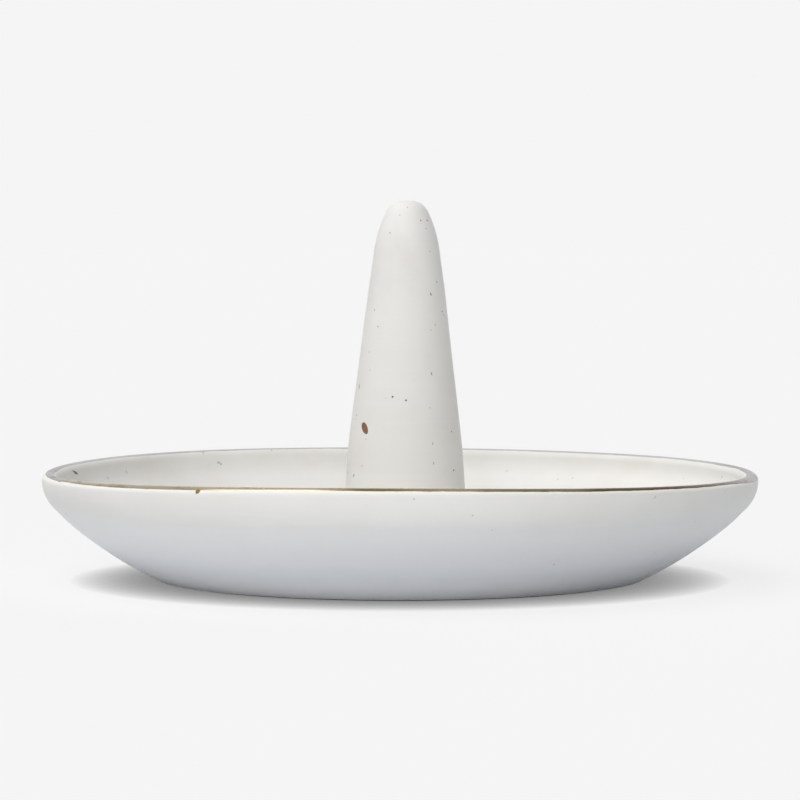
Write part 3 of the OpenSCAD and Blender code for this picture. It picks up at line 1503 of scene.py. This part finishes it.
@dataclass
class MarkMaker:
    """Lays marks on a coat of glaze as low domes that follow it.

    The middle and zone of the rust are in shares of a dome's half width and half length.
    """

    camera: PhotoCamera
    carrier: bpy.types.Object
    rings: int = 4
    sides: int = 14
    sunk: float = 0.02 * MM
    uneven: float = 1.0
    two_sided: float = 0.10
    three_sided: float = 0.06
    shortest_run: float = 0.05 * MM
    rust_middle: Point = (-0.2, 0.15)
    rust_zone: Zone = (0.4, 0.95)

    def build(
        self,
        name: str,
        marks: tuple[Mark, ...],
        material: bpy.types.Material,
        slot: Slot = Slot.GLAZE,
    ) -> bpy.types.Object:
        """Builds marks as one piece.

        Args:
            name: Its name.
            marks: The marks.
            material: Their finish, which reads how much iron and rust each point holds.
            slot: Its material slot.

        Returns:
            The finished piece.
        """
        surface = BVHTree.FromObject(self.carrier, bpy.context.evaluated_depsgraph_get())
        points, faces = [], []
        carried = {"iron": [], "rust": [], "outside": []}
        for number, mark in enumerate(marks):
            self._dome(mark, number, surface, points, faces, carried)
        mesh = bpy.data.meshes.new(name)
        mesh.from_pydata(points, [], faces)
        mesh.materials.append(material)
        for key, values in carried.items():
            carry(mesh, key, values)
        shade_smooth(mesh, DOME_SHARP)
        return finished(in_scene(name, mesh), slot)

    def _hit(self, surface: BVHTree, x: float, y: float) -> tuple[Vector, Vector]:
        """Returns the place and normal of the coat at a pixel."""
        place, normal, _, _ = surface.ray_cast(self.camera.place, self.camera.ray(x, y))
        return place, normal

    def _dome(
        self,
        mark: Mark,
        number: int,
        surface: BVHTree,
        points: list[Vector],
        faces: list[tuple[int, ...]],
        carried: dict[str, list[float]],
    ) -> None:
        """Adds one mark.

        Args:
            mark: The mark.
            number: Its number, from which its uneven outline follows.
            surface: The coat that it lies on.
            points: The piece's points so far.
            faces: The piece's faces so far.
            carried: What the piece's points carry so far, by name.
        """
        start, normal = self._hit(surface, mark.x, mark.y)
        up = (Vector((0, 0, 1)) - normal * normal.z).normalized()
        end = start if mark.to_x is None else self._hit(surface, mark.to_x, mark.to_y)[0]
        run = end - start
        streak = run.length > self.shortest_run
        along = run.normalized() if streak else up
        half = run.length / 2 if streak else mark.width / 2
        side = along.cross(normal).normalized()
        wide, wide_end = mark.width / 2, (mark.to_width or mark.width) / 2
        middle, base = (start + end) / 2, len(points)
        for ring in range(self.rings + 1):
            reach = ring / self.rings
            for i in range(self.sides if ring else 1):
                a = 2 * math.pi * i / self.sides
                wobble = self.two_sided * math.sin(2 * a + number)
                wobble += self.three_sided * math.sin(3 * a + 2 * number)
                wobble = 1 + self.uneven * wobble
                u, v = reach * wobble * math.cos(a), reach * wobble * math.sin(a)
                flat = middle + side * (u * (wide + (wide_end - wide) * (v + 1) / 2)) + along * (v * half)
                near, out, _, _ = surface.find_nearest(flat)
                points.append(near + out * (mark.rise * (1 - reach**2) - self.sunk * reach**6))
                carried["iron"].append(mark.iron * (1 - smooth(reach, mark.edge, 1.0)))
                off = math.dist((u, v), self.rust_middle)
                carried["rust"].append(mark.rust * (1 - smooth(off, *self.rust_zone)))
                carried["outside"].append(float(normal.z < 0))
        for i in range(self.sides):
            k = (i + 1) % self.sides
            faces.append((base, base + 1 + i, base + 1 + k))
            for ring in range(self.rings - 1):
                low = base + 1 + ring * self.sides
                high = low + self.sides
                faces.append((low + i, high + i, high + k, low + k))
        last = base + 1 + (self.rings - 1) * self.sides
        faces.append(tuple(reversed(range(last, last + self.sides))))


@dataclass(frozen=True)
class PhotoMarks:
    """The marks that show in the photograph."""

    fleck: tuple[Mark, ...] = (
        Mark("rust_fleck", 362.4, 421.5, 1.5 * MM, 0.95, 367.3, 434.8, 1.5 * MM, 1.0, 0.03 * MM, 0.84),
    )
    cone: tuple[Mark, ...] = (
        Mark("tip_left", 420.8, 220.4, 0.36 * MM, 0.85),
        Mark("tip_right", 427.2, 220.4, 0.42 * MM, 0.9),
        Mark("under_tip", 426.1, 228.6, 0.30 * MM, 0.5),
        Mark("shoulder_left", 389.9, 232.9, 0.36 * MM, 0.55),
        Mark("tip_faint", 407.4, 207.2, 0.40 * MM, 0.35),
        Mark("shoulder_faint", 399.8, 215.0, 0.36 * MM, 0.30),
        Mark("shoulder_low", 429.8, 251.5, 0.34 * MM, 0.35),
        Mark("upper_right", 436.8, 282.0, 0.36 * MM, 0.7),
        Mark("upper_streak", 429.9, 291.8, 0.34 * MM, 0.7, 431.8, 296.4),
        Mark("right_edge", 442.3, 311.5, 0.44 * MM, 0.55),
        Mark("right_edge_low", 443.3, 315.0, 0.34 * MM, 0.45),
        Mark("left_upper", 374.6, 309.9, 0.36 * MM, 0.6),
        Mark("left_upper_low", 378.0, 326.5, 0.36 * MM, 0.6),
        Mark("right_pair_high", 435.3, 324.8, 0.32 * MM, 0.5),
        Mark("right_pair_low", 431.0, 330.0, 0.30 * MM, 0.4),
        Mark("left_middle", 369.3, 352.0, 0.36 * MM, 0.35),
        Mark("left_middle_low", 370.0, 370.0, 0.32 * MM, 0.35),
        Mark("right_streak", 430.9, 371.6, 0.36 * MM, 0.65, 432.0, 375.8),
        Mark("left_streak", 359.2, 383.4, 0.34 * MM, 0.85, 359.3, 389.4),
        Mark("middle_left", 392.5, 396.8, 0.46 * MM, 0.95),
        Mark("middle", 406.0, 400.3, 0.44 * MM, 0.95),
        Mark("middle_faint", 386.0, 398.0, 0.28 * MM, 0.3),
        Mark("right_faint", 430.0, 407.8, 0.34 * MM, 0.3),
        Mark("left_low_first", 356.6, 415.0, 0.36 * MM, 0.6),
        Mark("left_low_second", 355.4, 419.2, 0.30 * MM, 0.5),
        Mark("left_low_third", 352.7, 418.8, 0.30 * MM, 0.4),
        Mark("right_low", 451.5, 431.5, 0.42 * MM, 0.55),
        Mark("below_fleck", 366.0, 439.2, 0.34 * MM, 0.4),
        Mark("low_tail", 433.2, 441.6, 0.36 * MM, 0.5, 432.4, 446.0, 0.16 * MM),
        Mark("foot_right", 460.7, 455.0, 0.34 * MM, 0.45),
        Mark("foot_streak", 433.5, 461.0, 0.30 * MM, 0.45, 433.6, 465.2),
        Mark("foot_left", 362.0, 466.0, 0.32 * MM, 0.5),
        Mark("foot_dark", 453.7, 470.3, 0.46 * MM, 0.8),
        Mark("foot_left_streak", 347.6, 469.8, 0.30 * MM, 0.45, 347.4, 474.8),
        Mark("foot_left_low", 354.4, 473.4, 0.38 * MM, 0.85, 353.2, 477.4),
    )
    inside: tuple[Mark, ...] = (
        Mark("left_rim_streak", 71.6, 470.0, 0.36 * MM, 1.0, 79.2, 475.0, 0.70 * MM, edge=0.7),
        Mark("back_left_high", 218.6, 462.4, 0.80 * MM, 0.4),
        Mark("back_left_low", 220.8, 464.0, 0.60 * MM, 0.5),
        Mark("rim_notch_left", 203.2, 452.6, 0.70 * MM, 0.35),
        Mark("rim_notch_right", 271.5, 450.0, 0.60 * MM, 0.3),
        Mark("back_far_left", 126.5, 471.9, 0.90 * MM, 0.22),
        Mark("left_faint", 108.0, 478.0, 0.90 * MM, 0.2),
        Mark("back_right", 507.0, 471.0, 0.60 * MM, 0.18),
        Mark("right_pair_left", 558.0, 479.0, 0.60 * MM, 0.20),
        Mark("right_pair_right", 572.6, 478.0, 0.60 * MM, 0.22),
        Mark("right_dot", 683.6, 478.8, 0.50 * MM, 0.22),
        Mark("right_lean", 722.8, 475.9, 0.28 * MM, 0.6, 720.9, 478.0),
        Mark("right_end", 739.3, 472.0, 0.32 * MM, 0.6),
        Mark("right_end_faint", 732.8, 471.0, 0.30 * MM, 0.35),
    )
    outside: tuple[Mark, ...] = (
        Mark("left_scratch", 64.6, 511.9, 0.20 * MM, 0.5, 67.9, 516.2),
        Mark("left_edge", 54.7, 506.0, 0.34 * MM, 0.3),
        Mark("right_scratch", 653.5, 499.5, 0.20 * MM, 0.45, 656.7, 495.3),
        Mark("right_speck", 695.0, 521.5, 0.34 * MM, 0.5),
        Mark("low_right", 554.0, 564.5, 0.34 * MM, 0.5),
        Mark("lower_right", 654.7, 553.0, 0.34 * MM, 0.4),
        Mark("under_lip", 414.0, 499.0, 0.36 * MM, 0.45),
        Mark("middle_right", 472.7, 515.5, 0.34 * MM, 0.4),
        Mark("right_of_middle", 492.0, 530.0, 0.34 * MM, 0.25),
        Mark("right_end_speck", 725.0, 491.0, 0.32 * MM, 0.25),
    )
    drip: tuple[Mark, ...] = (
        Mark("front_drip", 199.0, 489.4, 1.25 * MM, 0.0, 196.6, 494.1, 0.5 * MM, rise=0.12 * MM),
    )


@dataclass
class Specks:
    """Iron specks spread by chance over the glaze that the photograph doesn't show."""

    camera: PhotoCamera
    carrier: bpy.types.Object
    density: float
    seed: int
    size: float = 0.17 * MM
    smallest: float = 0.45
    largest: float = 1.0
    rise: float = 0.12
    leeway: float = 0.3 * MM

    def _hidden_faces(self) -> list[bool]:
        """Finds the faces of the carrier's skin that the photograph doesn't show.

        Returns:
            True for each such face and False for each other face.
        """
        mesh = self.carrier.data
        surface = BVHTree.FromObject(self.carrier, bpy.context.evaluated_depsgraph_get())
        eye = self.camera.place
        hidden = []
        for face, skin in zip(mesh.polygons, mesh.attributes["skin"].data):
            towards = face.center - eye
            shown = face.normal.dot(towards) < 0
            if skin.value and shown:
                _, _, _, far = surface.ray_cast(eye, towards.normalized())
                shown = far is not None and far > towards.length - self.leeway
            hidden.append(skin.value and not shown)
        return hidden

    def _tree(self) -> GeometryTree:
        """Makes the tree that scatters specks over the carrier's hidden faces.

        Returns:
            The tree.
        """
        sizes = {"Density": "Float", "Smallest": "Float", "Largest": "Float", "Seed": "Int"}
        t = GeometryTree("speck_scatter", sizes | {"Speck": "Object", "Finish": "Material"})
        hidden = t.node("GeometryNodeInputNamedAttribute", {"data_type": "BOOLEAN"}, {"Name": "hidden"})
        scatter = t.node(
            "GeometryNodeDistributePointsOnFaces",
            {},
            {
                "Mesh": t.inputs["Geometry"],
                "Selection": next(s for s in hidden.outputs if s.enabled),
                "Density": t.inputs["Density"],
                "Seed": t.inputs["Seed"],
            },
        )
        speck = t.node("GeometryNodeObjectInfo", {}, {"Object": t.inputs["Speck"]})
        chance = t.node(
            "FunctionNodeRandomValue",
            {"data_type": "FLOAT"},
            {"Min_001": t.inputs["Smallest"], "Max_001": t.inputs["Largest"], "Seed": t.inputs["Seed"]},
        )
        placed = t.node(
            "GeometryNodeInstanceOnPoints",
            {},
            {
                "Points": scatter.outputs["Points"],
                "Rotation": scatter.outputs["Rotation"],
                "Instance": speck.outputs["Geometry"],
                "Scale": t.socket(chance.outputs, "Value_001"),
            },
        )
        t.close(placed.outputs[0])
        return t

    def build(self, name: str, material: bpy.types.Material) -> bpy.types.Object:
        """Builds the specks as one plain mesh.

        Args:
            name: The piece's name.
            material: Its finish.

        Returns:
            The finished piece.
        """
        speck = low_dome("speck", self.size, self.size * self.rise)
        piece = in_scene(name, self.carrier.data.copy())
        piece.data.attributes.new("hidden", "BOOLEAN", "FACE").data.foreach_set("value", self._hidden_faces())
        given = {"Density": self.density, "Smallest": self.smallest, "Largest": self.largest}
        given |= {"Seed": self.seed, "Speck": speck, "Finish": material}
        piece.data = self._tree().run(piece, given)
        piece.data.name = name
        bpy.data.objects.remove(speck)
        return finished(piece, Slot.GLAZE)


def low_dome(name: str, radius: float, rise: float) -> bpy.types.Object:
    """Makes a small low dome, closed underneath, that faces +Z.

    Args:
        name: Its name.
        radius: Radius of its rim.
        rise: Height of its middle above its rim.

    Returns:
        The object.
    """
    sides = 9
    points, iron = [(0, 0, rise)], [0.75]
    shoulder, rim = (0.55, 0.75 * rise, 0.7), (1.0, -0.3 * rise, 0.0)
    two_sided, three_sided, turned = 0.12, 0.06, 0.4
    for reach, z, share in (shoulder, rim):
        for i in range(sides):
            a = 2 * math.pi * i / sides
            wobble = 1 + two_sided * math.sin(2 * a + turned) + three_sided * math.sin(3 * a)
            points.append((radius * reach * wobble * math.cos(a), radius * reach * wobble * math.sin(a), z))
            iron.append(share)
    faces = []
    for i in range(sides):
        k = (i + 1) % sides
        faces.append((0, 1 + i, 1 + k))
        faces.append((1 + i, 1 + sides + i, 1 + sides + k, 1 + k))
    faces.append(tuple(reversed(range(1 + sides, 1 + 2 * sides))))
    mesh = bpy.data.meshes.new(name)
    mesh.from_pydata(points, [], faces)
    carry(mesh, "iron", iron)
    shade_smooth(mesh, DOME_SHARP)
    return in_scene(name, mesh)


@dataclass(frozen=True)
class Lamp:
    """A far soft lamp.

    Its azimuth is in degrees from the camera's side, positive to the right, and its elevation is above level.
    """

    name: str
    azimuth: float
    elevation: float
    strength: float
    tint: tuple[float, float, float] = (1.0, 1.0, 1.0)
    softness: float = 45.0
    mirrored: bool = False

    @property
    def on_floor(self) -> float:
        """Returns how bright the lamp alone makes a white floor."""
        return self.strength * math.sin(math.radians(self.elevation)) / math.pi

    def build(self) -> None:
        """Makes the lamp, which shows in reflections only if it is mirrored."""
        data = bpy.data.lights.new(self.name, "SUN")
        data.energy = self.strength
        data.color = self.tint
        data.angle = math.radians(self.softness)
        lamp = in_scene(self.name, data)
        a, e = math.radians(self.azimuth), math.radians(self.elevation)
        towards = Vector((math.sin(a) * math.cos(e), -math.cos(a) * math.cos(e), math.sin(e)))
        lamp.rotation_euler = towards.to_track_quat("Z", "Y").to_euler()
        lamp.visible_glossy = self.mirrored


@dataclass
class Studio:
    """A plain pale floor, an even backdrop of the same tone, and soft light, most of it from the left.

    The floor throws more light on the dish than it shows. What the camera sees of it is its own dim shade
    with the dish's shadow, lifted evenly to the tone of the backdrop and darkened close to the dish.
    """

    lamps: tuple[Lamp, ...] = (
        Lamp("front_light", 0, 35, 1.12),
        Lamp("front_left_light", -30, 35, 0.91, mirrored=True),
        Lamp("high_back_left_light", -120, 62, 1.25),
        Lamp("low_back_right_light", 150, 10, 0.9, (0.95, 1.0, 1.03)),
        Lamp("top_light", 0, 88, 0.38),
    )
    backdrop: float = 0.9131
    floor_reach: float = 120.0
    floor_level: float = -0.01 * MM
    floor_bounce: Colour = (0.855, 0.87, 0.90, 1)
    floor_shown: float = 0.15
    contact_reach: float = 7.8 * MM
    contact_depth: float = 0.7
    contact_samples: int = 4
    fill: float = 0.04
    fill_tint: Colour = (0.96, 0.98, 1.0, 1)

    def build(self) -> None:
        """Makes the floor, the lamps and the world."""
        self._floor()
        for lamp in self.lamps:
            lamp.build()
        self._world()

    def _floor(self) -> None:
        """Makes the floor, which shows as pale as the backdrop and keeps the dish's shadow.

        It is one wide triangle, because the contact shadow would show the seam between two.
        """
        corners = []
        for degrees in (90, 210, 330):
            a = math.radians(degrees)
            corners.append((self.floor_reach * math.cos(a), self.floor_reach * math.sin(a), self.floor_level))
        mesh = bpy.data.meshes.new("floor")
        mesh.from_pydata(corners, [], [(0, 1, 2)])
        floor = in_scene("floor", mesh)
        t = ShaderTree("pale_floor")
        near = t.node(
            "ShaderNodeAmbientOcclusion", {"samples": self.contact_samples}, {"Distance": self.contact_reach}
        )
        lit = 1 - (1 - Number(t, near.outputs["AO"])) * self.contact_depth
        reflected = self.floor_shown * (self.fill + sum(lamp.on_floor for lamp in self.lamps))
        shown, lift = ((tone, tone, tone, 1) for tone in (self.floor_shown, self.backdrop - reflected))
        seen = t.seen()
        t.set(
            Base_Color=t.mix(seen, self.floor_bounce, t.mix(lit, BLACK, shown)),
            Emission_Color=t.mix(seen, BLACK, t.mix(lit, BLACK, lift)),
            Emission_Strength=1.0,
            Roughness=1.0,
            Specular_IOR_Level=0.0,
        )
        mesh.materials.append(t.material)

    def _world(self) -> None:
        """Makes an even backdrop for the camera and for reflections, and a softer light on the object."""
        world = bpy.data.worlds.new("backdrop")
        bpy.context.scene.world = world
        world.use_nodes = True
        world.node_tree.nodes.clear()
        t = NodeWork(world.node_tree)
        fill = t.node("ShaderNodeBackground", {}, {"Color": self.fill_tint, "Strength": self.fill})
        plain = t.node("ShaderNodeBackground", {}, {"Color": WHITE, "Strength": self.backdrop})
        both = t.node("ShaderNodeMixShader", {}, {0: t.seen(), 1: fill.outputs[0], 2: plain.outputs[0]})
        t.node("ShaderNodeOutputWorld", {}, {"Surface": both.outputs[0]})


def main() -> None:
    """Builds the dish round its frame, and the studio."""
    logging.basicConfig(level=logging.INFO, format="%(name)s %(message)s")
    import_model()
    bpy.context.scene.view_settings.view_transform = "Standard"
    camera = PhotoCamera()
    camera.build()
    dish_sizes, cone_sizes, hand, marks = DishSizes(), ConeSizes(), HandShape(), PhotoMarks()
    glaze = GlazeFinish().build("cream_glaze")
    marked = GlazeFinish().build("iron_in_glaze", marked=True)
    clay = ClayFinish().build()
    slip = ClayFinish(name="fired_slip", buff=(0.52, 0.44, 0.35, 1), pale=(0.62, 0.54, 0.45, 1)).build()
    gold, drip = GoldFinish().build(), GoldFinish().build_drip()

    wheel = Wheel(360)
    dish = Dish(dish_sizes, cone_sizes, hand, wheel)
    dish.build_clay(clay)
    dish_coat = dish.build_glaze(glaze)
    cone = Cone(cone_sizes, hand, wheel)
    cone.build_clay(clay)
    cone.build_slip(slip)
    cone_coat = cone.build_glaze(glaze)
    GoldLine(dish_sizes, hand, Wheel(1080)).build(gold)
    fleck_maker = MarkMaker(camera, cone_coat, rings=8, sides=32, uneven=-0.35)
    fleck_maker.build("cone_fleck", marks.fleck, marked)
    MarkMaker(camera, cone_coat).build("cone_specks", marks.cone, marked)
    MarkMaker(camera, dish_coat).build("dish_specks", marks.inside + marks.outside, marked)
    MarkMaker(camera, dish_coat, rings=6, sides=24).build("gold_drip", marks.drip, drip, Slot.GOLD)
    Specks(camera, cone_coat, density=26000, seed=4).build("cone_back_specks", marked)
    Specks(camera, dish_coat, density=3200, seed=9).build("dish_hidden_specks", marked)
    Studio().build()


if __name__ == "__main__":
    main()
